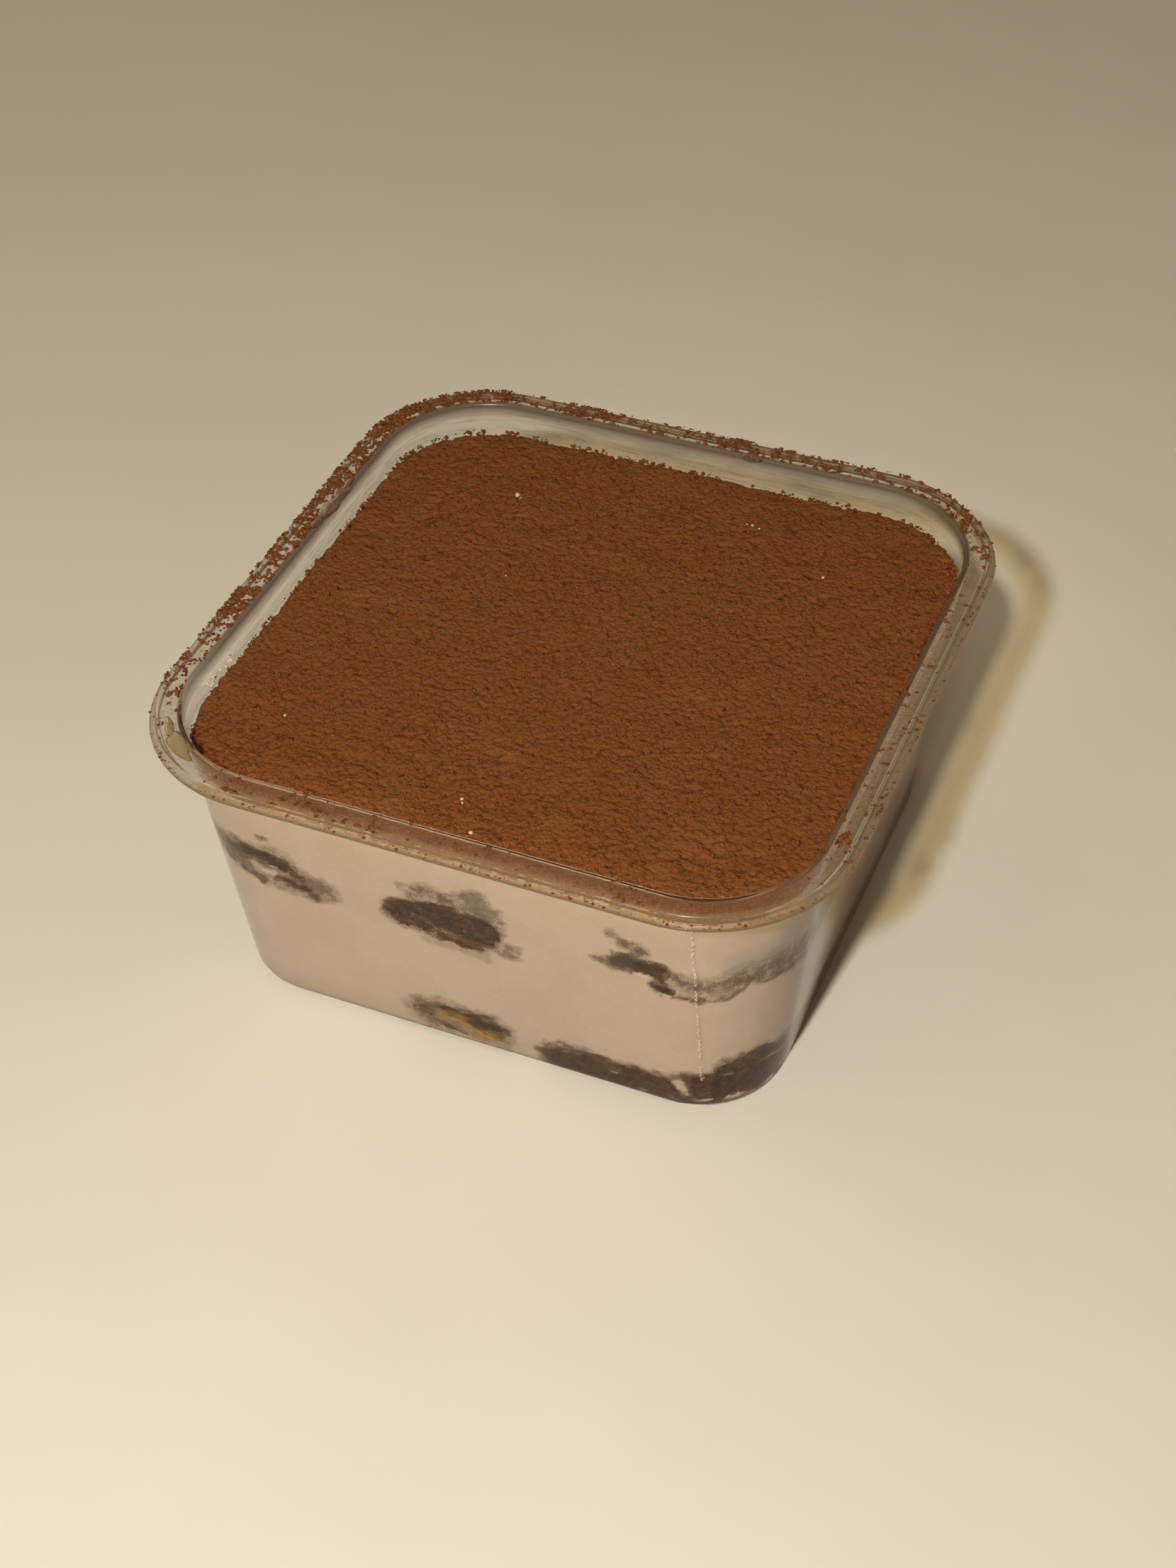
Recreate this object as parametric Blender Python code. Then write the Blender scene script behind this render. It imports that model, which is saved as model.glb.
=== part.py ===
"""A square clear plastic tub filled with tiramisu, in metres, +Z up.

The origin is the middle of the underside. The front of the tub faces -Y. The tub is one thin
shell. Inside it lie two layers of soaked ladyfingers that run from front to back, the cream
around and over them, and a layer of cocoa powder on top.
"""
import math

import bmesh
import bpy

# ---- tub --------------------------------------------------------------------------------------
TUB_HEIGHT = 0.0545          # underside to the top of the rim's ledge
BASE_HALF = 0.04825          # half the outer width of the walls, extended down to the underside
WALL_TOP_HALF = 0.0543       # half the outer width of the walls, extended up to the ledge
WALL = 0.0006                # thickness of the plastic
FLOOR = 0.0007               # thickness of the floor
FLOOR_FILLET = 0.0020        # outer rounding between the wall and the underside
STRAIGHT_BASE = 0.03335      # half the straight stretch of a side at the underside
STRAIGHT_TOP = 0.0347        # the same at the rim
LEDGE_WIDTH = 0.0037         # flat ledge of the rim, from the wall to the skirt
SKIRT_DROP = 0.0015          # height of the skirt, from the ledge's top to the lip's top
LIP_OUT = 0.0010             # how far the lip sticks out of the skirt
BEND = 0.0006                # outer radius of the rim's small bends
CORNER_STEPS = 9             # facets round each corner of the plan

# ---- contents ---------------------------------------------------------------------------------
GAP = 0.0003                 # clearance between neighbouring pieces
CREAM_TOP = 0.0477
COCOA_THICKNESS = 0.0014
COCOA_RELIEF = 0.00035       # rise and fall of the powder's surface
COCOA_EDGE_GAP = 0.0006      # mean distance of the powder's edge from the wall
COCOA_BEVEL = 0.0004         # rounding at the foot of the powder's edge
COCOA_RINGS = 6              # rings of facets on the powder's surface

# ---- ladyfingers ------------------------------------------------------------------------------
FINGER_HALF_LENGTH = 0.0535  # before the ends are pressed flat against the walls
FINGER_END = 0.0095          # length of the rounding at each end
FINGER_SIDES = 20            # facets round a finger
FINGER_SECTIONS = 15         # cross-sections along a finger
FINGER_POWER = 2.5           # squareness of the cross-section, where 2 is an ellipse

# Each finger: name, x of its middle line, height of its middle, half width, half height.
FINGERS = [
    ("ladyfinger_upper_left", -0.0385, 0.0322, 0.0145, 0.0058),
    ("ladyfinger_upper_middle", -0.0032, 0.0316, 0.0125, 0.0061),
    ("ladyfinger_upper_right", 0.0395, 0.0334, 0.0140, 0.0062),
    ("ladyfinger_lower_middle", -0.0045, 0.0052, 0.0123, 0.0061),
    ("ladyfinger_lower_right", 0.0240, 0.0030, 0.0118, 0.0058),
    ("ladyfinger_lower_corner", 0.0462, 0.0063, 0.0093, 0.0070),
]


# ---- helpers ----------------------------------------------------------------------------------
def material(name, color, roughness, alpha=1.0, transmission=0.0):
    """A Principled material with one colour."""
    mat = bpy.data.materials.new(name)
    mat.use_nodes = True
    shader = mat.node_tree.nodes["Principled BSDF"]
    shader.inputs["Base Color"].default_value = (*color, 1.0)
    shader.inputs["Roughness"].default_value = roughness
    shader.inputs["Metallic"].default_value = 0.0
    shader.inputs["Alpha"].default_value = alpha
    shader.inputs["Transmission Weight"].default_value = transmission
    mat.diffuse_color = (*color, alpha)
    return mat


def add_object(name, mesh_bm, mat):
    """Link a new object that holds the bmesh, with its faces turned outwards."""
    bmesh.ops.recalc_face_normals(mesh_bm, faces=mesh_bm.faces)
    mesh = bpy.data.meshes.new(name)
    mesh_bm.to_mesh(mesh)
    mesh_bm.free()
    mesh.materials.append(mat)
    obj = bpy.data.objects.new(name, mesh)
    bpy.context.scene.collection.objects.link(obj)
    return obj


def add_cutter(name, mesh_bm, mat):
    """The same for a shape that only cuts others."""
    obj = add_object(name, mesh_bm, mat)
    obj.hide_render = True
    obj.display_type = "WIRE"
    return obj


def cut(obj, cutter, operation):
    """Add a Boolean modifier that stays live on the object."""
    mod = obj.modifiers.new(operation.lower() + "_" + cutter.name, "BOOLEAN")
    mod.operation = operation
    mod.solver = "EXACT"
    mod.object = cutter


def straight_at(z):
    """Half the straight stretch of a side at a height."""
    return STRAIGHT_BASE + (STRAIGHT_TOP - STRAIGHT_BASE) * z / TUB_HEIGHT


def plan_loop(half, z):
    """Points of the tub's rounded square plan, counter-clockwise, for a half width and height."""
    straight = straight_at(z)
    radius = half - straight
    points = []
    for corner in range(4):
        start = corner * math.pi / 2
        middle_x = straight * (1 if corner in (0, 3) else -1)
        middle_y = straight * (1 if corner in (0, 1) else -1)
        for step in range(CORNER_STEPS + 1):
            angle = start + step / CORNER_STEPS * math.pi / 2
            points.append((middle_x + radius * math.cos(angle), middle_y + radius * math.sin(angle), z))
    return points


def skin_loops(bm, loops):
    """Join loops of equal length with quads, and close the first and the last with a fan."""
    rings = [[bm.verts.new(p) for p in loop] for loop in loops]
    count = len(rings[0])
    for lower, upper in zip(rings, rings[1:]):
        for i in range(count):
            j = (i + 1) % count
            bm.faces.new((lower[i], lower[j], upper[j], upper[i]))
    for ring in (rings[0], rings[-1]):
        middle = bm.verts.new([sum(v.co[k] for v in ring) / count for k in range(3)])
        for i in range(count):
            bm.faces.new((ring[i], ring[(i + 1) % count], middle))


def outer_half(z):
    """Half the outer width of the sloping walls at a height."""
    return BASE_HALF + (WALL_TOP_HALF - BASE_HALF) * z / TUB_HEIGHT


def inner_half(z):
    """Half the clear width between the walls at a height."""
    return outer_half(z) - WALL


# ---- tub --------------------------------------------------------------------------------------
def arc(middle_half, middle_z, radius, start_deg, end_deg, steps):
    """Profile points (half width, height) along an arc."""
    points = []
    for step in range(steps + 1):
        angle = math.radians(start_deg + (end_deg - start_deg) * step / steps)
        points.append((middle_half + radius * math.cos(angle), middle_z + radius * math.sin(angle)))
    return points


def tub_profile():
    """The shell's section, from the middle of the underside round the rim to the floor's middle."""
    skirt_outer = outer_half(TUB_HEIGHT) - WALL + LEDGE_WIDTH + WALL
    lip_edge = skirt_outer + LIP_OUT
    lip_top = TUB_HEIGHT - SKIRT_DROP
    lip_under = lip_top - WALL
    ledge_under = TUB_HEIGHT - WALL
    skirt_inner = skirt_outer - WALL
    wall_foot = outer_half(FLOOR_FILLET) - FLOOR_FILLET
    inner_fillet = FLOOR_FILLET - WALL
    outer = [(wall_foot * 0.5, 0.0)]
    outer += arc(wall_foot, FLOOR_FILLET, FLOOR_FILLET, -90, 0, 4)
    bend_z = ledge_under - BEND
    outer += arc(outer_half(bend_z) + BEND, bend_z, BEND, 180, 90, 2)
    outer += [(skirt_inner - BEND * 0.5, ledge_under), (skirt_inner, ledge_under - BEND * 0.5)]
    outer += [(skirt_inner, lip_under + BEND * 0.5), (skirt_inner + BEND * 0.5, lip_under)]
    outer += [(lip_edge - WALL * 0.3, lip_under), (lip_edge, lip_under + WALL * 0.3)]
    outer += [(lip_edge, lip_top - WALL * 0.3), (lip_edge - WALL * 0.3, lip_top)]
    outer += [(skirt_outer + BEND * 0.3, lip_top), (skirt_outer, lip_top + BEND * 0.3)]
    outer += arc(skirt_outer - BEND, TUB_HEIGHT - BEND, BEND, 0, 90, 2)
    inner_top = inner_half(TUB_HEIGHT - BEND)
    inner = arc(inner_top + BEND, TUB_HEIGHT - BEND, BEND, 90, 180, 3)
    floor_foot = inner_half(FLOOR + inner_fillet) - inner_fillet
    inner += arc(floor_foot, FLOOR + inner_fillet, inner_fillet, 0, -90, 3)
    inner += [(floor_foot * 0.5, FLOOR)]
    return outer + inner


def build_tub(mat):
    bm = bmesh.new()
    skin_loops(bm, [plan_loop_scaled(half, z) for half, z in tub_profile()])
    obj = add_object("tub", bm, mat)
    obj.data.shade_smooth()
    obj.data.set_sharp_from_angle(angle=math.radians(50))
    return obj


def plan_loop_scaled(half, z):
    """The plan at a profile point: a true plan loop near the walls, a shrunk one near the middle."""
    smallest = straight_at(z) + 0.004
    if half >= smallest:
        return plan_loop(half, z)
    scale = half / smallest
    return [(x * scale, y * scale, z) for x, y, z in plan_loop(smallest, z)]


# ---- contents ---------------------------------------------------------------------------------
def fill_space_bmesh():
    """The space that the cream and the ladyfingers share, a gap inside the walls and floor."""
    bottom = FLOOR + GAP
    fillet = FLOOR_FILLET - WALL
    foot = inner_half(bottom + fillet) - GAP - fillet
    profile = [(foot * 0.5, bottom)]
    profile += arc(foot, bottom + fillet, fillet, -90, 0, 3)
    profile += [(inner_half(CREAM_TOP) - GAP, CREAM_TOP), (foot * 0.5, CREAM_TOP)]
    bm = bmesh.new()
    skin_loops(bm, [plan_loop_scaled(half, z) for half, z in profile])
    return bm


def finger_bmesh(index, half_width, half_height, grow):
    """One biscuit along Y with rounded ends, uneven along its length, made larger by grow."""
    half_length = FINGER_HALF_LENGTH + grow
    bm = bmesh.new()
    loops = []
    for section in range(FINGER_SECTIONS):
        # Sections crowd towards the ends, and the outermost ones stop just short of the tip.
        t = math.sin((section / (FINGER_SECTIONS - 1) - 0.5) * math.pi) * 0.992
        y = t * half_length
        into_end = max(0.0, (abs(y) - (half_length - FINGER_END)) / FINGER_END)
        taper = (1.0 - into_end ** 2.2) ** (1 / 2.2)
        swell = 1.0 + 0.025 * math.sin(70.0 * y + 1.7 * index)
        sway = 0.0004 * math.sin(55.0 * y + 2.3 * index)
        lift = 0.0003 * math.sin(90.0 * y + 0.9 * index)
        loop = []
        for side in range(FINGER_SIDES):
            angle = 2 * math.pi * side / FINGER_SIDES
            c, s = math.cos(angle), math.sin(angle)
            reach_x = math.copysign(abs(c) ** (2 / FINGER_POWER), c)
            reach_z = math.copysign(abs(s) ** (2 / FINGER_POWER), s)
            loop.append((
                sway + (half_width * swell + grow) * taper * reach_x,
                y,
                lift + (half_height + grow) * taper * reach_z,
            ))
        loops.append(loop)
    skin_loops(bm, loops)
    return bm


def build_fingers(mat, fill_space):
    """The ladyfingers, trimmed flat where they press against the walls and the floor.

    Returns the slightly larger shapes that make room for them in the cream.
    """
    rooms = []
    for index, (name, x, z, half_width, half_height) in enumerate(FINGERS):
        finger = add_object(name, finger_bmesh(index, half_width, half_height, 0.0), mat)
        finger.location = (x, 0.0, z)
        cut(finger, fill_space, "INTERSECT")
        room = add_cutter("room_" + name, finger_bmesh(index, half_width, half_height, GAP), mat)
        room.location = (x, 0.0, z)
        rooms.append(room)
    return rooms


def build_cream(mat, rooms):
    """The cream: the shared space less the room that each ladyfinger takes."""
    cream = add_object("cream", fill_space_bmesh(), mat)
    for room in rooms:
        cut(cream, room, "DIFFERENCE")


def cocoa_height(x, y):
    """Rise and fall of the powder, from a few long waves."""
    wave = 0.5 * math.sin(95 * x + 40 * y + 0.6) + 0.3 * math.sin(150 * y - 60 * x + 2.0)
    wave += 0.2 * math.sin(240 * x + 210 * y)
    return COCOA_RELIEF * wave


def build_cocoa(mat):
    """The powder layer: flat below, gently uneven above, with a soft edge."""
    under = CREAM_TOP + GAP
    top = under + COCOA_THICKNESS
    half = inner_half(under) - COCOA_EDGE_GAP
    loops = [plan_loop_scaled(half * 0.5, under)]
    loops.append(plan_loop(half - COCOA_BEVEL, under))
    loops.append(plan_loop(half, under + COCOA_BEVEL))
    for ring in range(COCOA_RINGS):
        inward = ring / (COCOA_RINGS - 1)
        flat = plan_loop_scaled(half * (0.985 - 0.94 * inward), top)
        loops.append([(x, y, z + cocoa_height(x, y)) for x, y, z in flat])
    bm = bmesh.new()
    skin_loops(bm, loops)
    obj = add_object("cocoa", bm, mat)
    obj.data.shade_smooth()
    obj.data.set_sharp_from_angle(angle=math.radians(40))
    return obj


def main():
    for obj in list(bpy.data.objects):
        bpy.data.objects.remove(obj, do_unlink=True)

    clear_plastic = material("clear_plastic", (0.90, 0.90, 0.88), 0.08, alpha=0.35, transmission=1.0)
    cream_mat = material("cream", (0.66, 0.50, 0.38), 0.45)
    sponge_mat = material("soaked_sponge", (0.13, 0.062, 0.025), 0.5)
    cocoa_mat = material("cocoa_powder", (0.135, 0.045, 0.014), 0.95)

    build_tub(clear_plastic)
    fill_space = add_cutter("fill_space", fill_space_bmesh(), cream_mat)
    rooms = build_fingers(sponge_mat, fill_space)
    build_cream(cream_mat, rooms)
    build_cocoa(cocoa_mat)


main()
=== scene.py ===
"""Looks of the tiramisu: a clear square tub, coffee cream, soaked ladyfingers and cocoa powder."""
import math

import bpy
import numpy as np
from mathutils import Matrix, Vector


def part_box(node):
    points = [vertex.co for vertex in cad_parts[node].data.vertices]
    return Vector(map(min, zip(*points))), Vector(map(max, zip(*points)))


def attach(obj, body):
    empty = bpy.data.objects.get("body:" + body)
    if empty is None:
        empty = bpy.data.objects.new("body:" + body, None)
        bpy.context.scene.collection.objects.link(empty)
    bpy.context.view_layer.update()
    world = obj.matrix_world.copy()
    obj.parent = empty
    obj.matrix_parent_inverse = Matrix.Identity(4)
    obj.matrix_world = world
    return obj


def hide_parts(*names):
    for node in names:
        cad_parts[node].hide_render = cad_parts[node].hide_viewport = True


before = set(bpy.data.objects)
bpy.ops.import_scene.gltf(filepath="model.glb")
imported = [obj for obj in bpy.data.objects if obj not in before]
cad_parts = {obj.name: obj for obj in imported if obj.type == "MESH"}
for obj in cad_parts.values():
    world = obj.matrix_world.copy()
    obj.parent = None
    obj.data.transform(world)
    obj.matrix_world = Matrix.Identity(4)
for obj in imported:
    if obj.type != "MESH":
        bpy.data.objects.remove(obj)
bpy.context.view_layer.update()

MM = 0.001
SEED = 20

# ---- sizes of the tub, as in the CAD ----
TUB_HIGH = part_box("tub")[1]
HEIGHT = TUB_HIGH.z
LIP_HALF = TUB_HIGH.x
WALL = 0.6 * MM
FLOOR = 0.7 * MM
FLOOR_FILLET = 2.0 * MM
BASE_HALF = 48.25 * MM
WALL_TOP_HALF = 54.3 * MM
STRAIGHT_BASE = 33.35 * MM
STRAIGHT_TOP = 34.7 * MM
LIP_OUT = 1.0 * MM
SKIRT_DROP = 1.5 * MM
BEND = 0.6 * MM
SKIRT_HALF = LIP_HALF - LIP_OUT
CREAM_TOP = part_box("cream")[1].z
COCOA_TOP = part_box("cocoa")[0].z + 1.1 * MM     # mean height of the powder's surface
INTO_WALL = 0.25 * MM        # how far the contents reach into the plastic, so that no gap shows


# ---- repeatable noise ----
def lattice(ix, iy, iz, seed):
    """Pseudo-random numbers from 0 to 1 for whole lattice points."""
    n = ix.astype(np.int64) * 374761393 + iy.astype(np.int64) * 668265263
    n = n + iz.astype(np.int64) * 1274126177 + seed * 974711
    n = (n ^ (n >> 13)) & 0xFFFFFFFF
    n = (n * 1103515245 + 12345) & 0xFFFFFFFF
    n = ((n ^ (n >> 15)) * 2246822519) & 0xFFFFFFFF
    return ((n ^ (n >> 16)) & 0xFFFF) / 65535.0


def smooth_noise(points, size, seed=0):
    """Smooth value noise from -1 to 1, with features about size across."""
    p = np.asarray(points, float) / size
    base = np.floor(p)
    f = p - base
    f = f * f * (3 - 2 * f)
    i = base.astype(np.int64)
    total = np.zeros(len(p))
    for cx in (0, 1):
        wx = f[:, 0] if cx else 1 - f[:, 0]
        for cy in (0, 1):
            wy = f[:, 1] if cy else 1 - f[:, 1]
            for cz in (0, 1):
                wz = f[:, 2] if cz else 1 - f[:, 2]
                total += wx * wy * wz * lattice(i[:, 0] + cx, i[:, 1] + cy, i[:, 2] + cz, seed)
    return total * 2 - 1


def layered_noise(points, size, octaves, seed=0, fade=0.5):
    """Several octaves of smooth noise."""
    total = np.zeros(len(points))
    weight = 1.0
    for octave in range(octaves):
        total += weight * smooth_noise(points, size / 2 ** octave, seed + 17 * octave)
        weight *= fade
    return total


def cell_distance(xy, size, seed=0):
    """Distance to the nearest and second nearest of scattered points, in units of size."""
    p = xy / size
    base = np.floor(p).astype(np.int64)
    first = np.full(len(p), 9.0)
    second = np.full(len(p), 9.0)
    for dx in (-1, 0, 1):
        for dy in (-1, 0, 1):
            cx, cy = base[:, 0] + dx, base[:, 1] + dy
            zero = np.zeros_like(cx)
            jx = lattice(cx, cy, zero, seed)
            jy = lattice(cx, cy, zero + 1, seed)
            d = np.hypot(cx + jx - p[:, 0], cy + jy - p[:, 1])
            second = np.minimum(second, np.maximum(first, d))
            first = np.minimum(first, d)
    return first, second


def noise_pair(points, size, seed):
    """Two noises side by side, to shift points in a plane by."""
    return np.stack([smooth_noise(points, size, seed), smooth_noise(points, size, seed + 1)], 1)


def share(values):
    """The values kept from 0 to 1."""
    return np.clip(values, 0, 1)


def in_space(xy, z=0.0):
    """Points in a plane as points in space, at one height."""
    return np.column_stack([xy, np.full(len(xy), z)])


def on_line(t):
    """Distances along a line as points in space."""
    return np.column_stack([t, t * 0, t * 0])


# ---- the tub's plan ----
def straight_at(z):
    return STRAIGHT_BASE + (STRAIGHT_TOP - STRAIGHT_BASE) * z / HEIGHT


def outer_half(z):
    return BASE_HALF + (WALL_TOP_HALF - BASE_HALF) * z / HEIGHT


def inner_half(z):
    return outer_half(z) - WALL


def plan_unit(side_points, corner_points):
    """One turn round the plan from the middle of the front, to the right: for each point its
    share along the straight stretches (kx, ky, from -1 to 1) and its outward direction."""
    pieces = []
    for quarter in range(4):
        turn = quarter * math.pi / 2
        for k in np.linspace(-1, 1, side_points, endpoint=False):
            pieces.append((k, -1.0, 0.0, -1.0, turn))
        for t in np.linspace(0, math.pi / 2, corner_points, endpoint=False):
            pieces.append((1.0, -1.0, math.sin(t), -math.cos(t), turn))
    table = np.array(pieces)
    c, s = np.cos(table[:, 4]), np.sin(table[:, 4])
    kx = table[:, 0] * c - table[:, 1] * s
    ky = table[:, 0] * s + table[:, 1] * c
    nx = table[:, 2] * c - table[:, 3] * s
    ny = table[:, 2] * s + table[:, 3] * c
    return kx, ky, nx, ny


def plan_ring(unit, half, z):
    """Points of the rounded square with that half width at that height."""
    kx, ky, nx, ny = unit
    straight = min(straight_at(z), half * 0.86)
    radius = half - straight
    return in_space(np.stack([kx * straight + nx * radius, ky * straight + ny * radius], 1), z)


def wall_distance(p, half=None):
    """Distance inwards from the inner wall at each point's height, or from a wall of that half
    width, and the outward direction."""
    x, y, z = p[:, 0], p[:, 1], p[:, 2]
    straight = straight_at(z)
    radius = (inner_half(z) if half is None else half) - straight
    qx, qy = np.abs(x) - straight, np.abs(y) - straight
    ox, oy = np.maximum(qx, 0), np.maximum(qy, 0)
    length = np.hypot(ox, oy)
    flat = np.minimum(np.maximum(qx, qy), 0)
    distance = radius - length - flat
    along_x = qx > qy
    nx = np.where(length > 1e-9, ox / np.maximum(length, 1e-9), along_x * 1.0) * np.sign(x)
    ny = np.where(length > 1e-9, oy / np.maximum(length, 1e-9), ~along_x * 1.0) * np.sign(y)
    return distance, nx, ny


def way_round(p):
    """Distance along the wall from the middle of the front, positive to the right."""
    x, y, z = np.abs(p[:, 0]), p[:, 1], p[:, 2]
    a = straight_at(z)
    r = inner_half(z) - a
    quarter = r * math.pi / 2
    s = np.minimum(x, a)
    front_corner = (x > a) & (y < -a)
    s = np.where(front_corner, a + r * np.arctan2(x - a, -(y + a)), s)
    side = (x > a) & (np.abs(y) <= a)
    s = np.where(side, 2 * a + quarter + y, s)
    back_corner = (x > a) & (y > a)
    s = np.where(back_corner, 3 * a + quarter + r * np.arctan2(y - a, np.maximum(x - a, 1e-9)), s)
    back = (x <= a) & (y > a)
    s = np.where(back, 4 * a + 2 * quarter - x, s)
    return s * np.where(p[:, 0] < 0, -1.0, 1.0)


def wall_point(s, z, out=0.0):
    """The inverse: a point on the inner wall, moved outwards by out, and its outward direction."""
    side = np.where(s < 0, -1.0, 1.0)
    t = np.abs(s)
    a = straight_at(z)
    r = inner_half(z) - a
    quarter = r * math.pi / 2
    reach = r + out
    angle1 = np.clip((t - a) / r, 0, math.pi / 2)
    angle2 = np.clip((t - 3 * a - quarter) / r, 0, math.pi / 2)
    angle = angle1 + angle2
    cx = np.where(t < a, t, a) - np.maximum(t - 3 * a - 2 * quarter, 0)
    cy = np.clip(t - a - quarter - a, -a, a)
    nx, ny = np.sin(angle), -np.cos(angle)
    point = np.stack([side * (cx + reach * nx), cy + reach * ny, z + 0 * t], -1)
    return point, np.stack([side * nx, ny, 0 * t], -1)


# ---- mesh helpers ----
def linked(obj):
    bpy.context.scene.collection.objects.link(obj)
    return obj


def make_object(name, vertices, faces, material, attributes=None):
    """An object from arrays: faces is one array of triangles or quads, or a list of such arrays."""
    groups = faces if isinstance(faces, list) else [faces]
    mesh = bpy.data.meshes.new(name)
    mesh.vertices.add(len(vertices))
    mesh.vertices.foreach_set("co", np.asarray(vertices, np.float32).ravel())
    loops = np.concatenate([g.ravel() for g in groups]).astype(np.int32)
    sizes = np.concatenate([np.full(len(g), g.shape[1], np.int32) for g in groups])
    starts = np.concatenate([[0], np.cumsum(sizes)[:-1]]).astype(np.int32)
    mesh.loops.add(len(loops))
    mesh.loops.foreach_set("vertex_index", loops)
    mesh.polygons.add(len(sizes))
    mesh.polygons.foreach_set("loop_start", starts)
    mesh.update(calc_edges=True)
    mesh.validate()
    mesh.polygons.foreach_set("use_smooth", np.ones(len(mesh.polygons), bool))
    for key, values in (attributes or {}).items():
        layer = mesh.attributes.new(key, "FLOAT", "POINT")
        layer.data.foreach_set("value", np.asarray(values, np.float32))
    mesh.materials.append(material)
    return linked(bpy.data.objects.new(name, mesh))


def make_piece(name, vertices, faces, material, slot, node=None, **attributes):
    """A piece of the object, on its body, with the CAD node that it stands for hidden; slot is not used."""
    obj = make_object(name, vertices, faces, material, attributes)
    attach(obj, "root")
    if node:
        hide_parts(node)


def loft_faces(rings, count):
    """Quads between equal closed rings stored one after another."""
    ring = np.arange(rings - 1)[:, None] * count
    i = np.arange(count)[None, :]
    j = (i + 1) % count
    quads = np.stack([ring + i, ring + j, ring + count + j, ring + count + i], -1)
    return quads.reshape(-1, 4)


def cap_faces(start, count, middle, flip):
    """A fan that closes one ring."""
    i = np.arange(count)
    j = (i + 1) % count
    tri = np.stack([start + i, start + j, np.full(count, middle)], -1)
    return tri[:, ::-1] if flip else tri


def lofted(rings):
    """Vertices and faces of a body lofted through rings, closed at both ends.

    Rings run counter-clockwise seen from above, and the first is below or inside the last."""
    count = len(rings[0])
    vertices = np.concatenate(rings + [rings[0].mean(0)[None], rings[-1].mean(0)[None]])
    last = (len(rings) - 1) * count
    middle = len(rings) * count
    faces = [loft_faces(len(rings), count)]
    faces += [cap_faces(0, count, middle, True), cap_faces(last, count, middle + 1, False)]
    return vertices, faces


def arc(half, z, radius, start, end, steps):
    """Section points (half width, height) along an arc, angles in degrees."""
    angles = np.radians(np.linspace(start, end, steps + 1))
    return [(half + radius * math.cos(t), z + radius * math.sin(t)) for t in angles]


def line(a, b, steps):
    """Section points between two points, without the ends."""
    (ax, az), (bx, bz) = a, b
    return [(ax + (bx - ax) * k / steps, az + (bz - az) * k / steps) for k in range(1, steps)]


# ---- shader helpers ----
class Shader:
    """A short way to build a material's nodes."""

    def __init__(self, name):
        self.material = bpy.data.materials.new(name)
        self.material.use_nodes = True
        self.tree = self.material.node_tree
        self.tree.nodes.clear()
        self.output = self.tree.nodes.new("ShaderNodeOutputMaterial")

    def node(self, kind, values=None, **settings):
        new = self.tree.nodes.new(kind)
        for key, value in settings.items():
            setattr(new, key, value)
        for key, value in (values or {}).items():
            if isinstance(value, bpy.types.NodeSocket):
                self.tree.links.new(value, new.inputs[key])
            else:
                new.inputs[key].default_value = value
        return new

    def attribute(self, name):
        return self.node("ShaderNodeAttribute", attribute_name=name).outputs["Fac"]

    def position(self):
        return self.node("ShaderNodeTexCoord").outputs["Object"]

    def noise(self, size, detail=3.0, roughness=0.5, vector=None, distortion=0.0):
        """Noise from 0 to 1, with features about size across."""
        values = {"Vector": vector or self.position(), "Scale": 1 / size, "Detail": detail,
                  "Roughness": roughness, "Distortion": distortion}
        return self.node("ShaderNodeTexNoise", values).outputs["Fac"]

    def cells(self, size):
        """Distance to the nearest of scattered points, about size apart."""
        values = {"Vector": self.position(), "Scale": 1 / size}
        return self.node("ShaderNodeTexVoronoi", values).outputs["Distance"]

    def math(self, operation, a, b=0.0, c=0.0, clamp=False):
        values = {0: a, 1: b, 2: c}
        return self.node("ShaderNodeMath", values, operation=operation, use_clamp=clamp).outputs[0]

    def times(self, a, b, clamp=False):
        return self.math("MULTIPLY", a, b, clamp=clamp)

    def remap(self, value, low, high, to_low=0.0, to_high=1.0):
        """A smooth step from to_low to to_high as the value goes from low to high."""
        values = {"Value": value, "From Min": low, "From Max": high, "To Min": to_low, "To Max": to_high}
        return self.node("ShaderNodeMapRange", values, interpolation_type="SMOOTHSTEP").outputs[0]

    def mix(self, factor, a, b):
        """A mix of two colours."""
        new = self.node("ShaderNodeMix", data_type="RGBA")
        for index, value in ((0, factor), (6, a), (7, b)):
            if isinstance(value, bpy.types.NodeSocket):
                self.tree.links.new(value, new.inputs[index])
            else:
                new.inputs[index].default_value = value if index == 0 else (*value, 1.0)
        return new.outputs[2]

    def ramp(self, value, stops):
        new = self.node("ShaderNodeValToRGB", {"Fac": value})
        ramp = new.color_ramp
        ramp.interpolation = "EASE"
        while len(ramp.elements) < len(stops):
            ramp.elements.new(0.5)
        for element, (place, color) in zip(ramp.elements, stops):
            element.position = place
            element.color = (*color, 1.0)
        return new.outputs["Color"]

    def bump(self, height, distance, strength):
        values = {"Height": height, "Distance": distance, "Strength": strength}
        return self.node("ShaderNodeBump", values).outputs["Normal"]

    def principled(self, **values):
        named = {key.replace("_", " "): value for key, value in values.items()}
        color = named["Base Color"]
        if isinstance(color, tuple):
            named["Base Color"] = (*color, 1.0)
        return self.node("ShaderNodeBsdfPrincipled", named).outputs["BSDF"]

    def blend(self, factor, a, b):
        """A mix of two shaders."""
        new = self.node("ShaderNodeMixShader", {0: factor})
        self.tree.links.new(a, new.inputs[1])
        self.tree.links.new(b, new.inputs[2])
        return new.outputs[0]

    def done(self, surface):
        self.tree.links.new(surface, self.output.inputs["Surface"])
        return self.material

    def finish(self, **values):
        return self.done(self.principled(**values))


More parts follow.
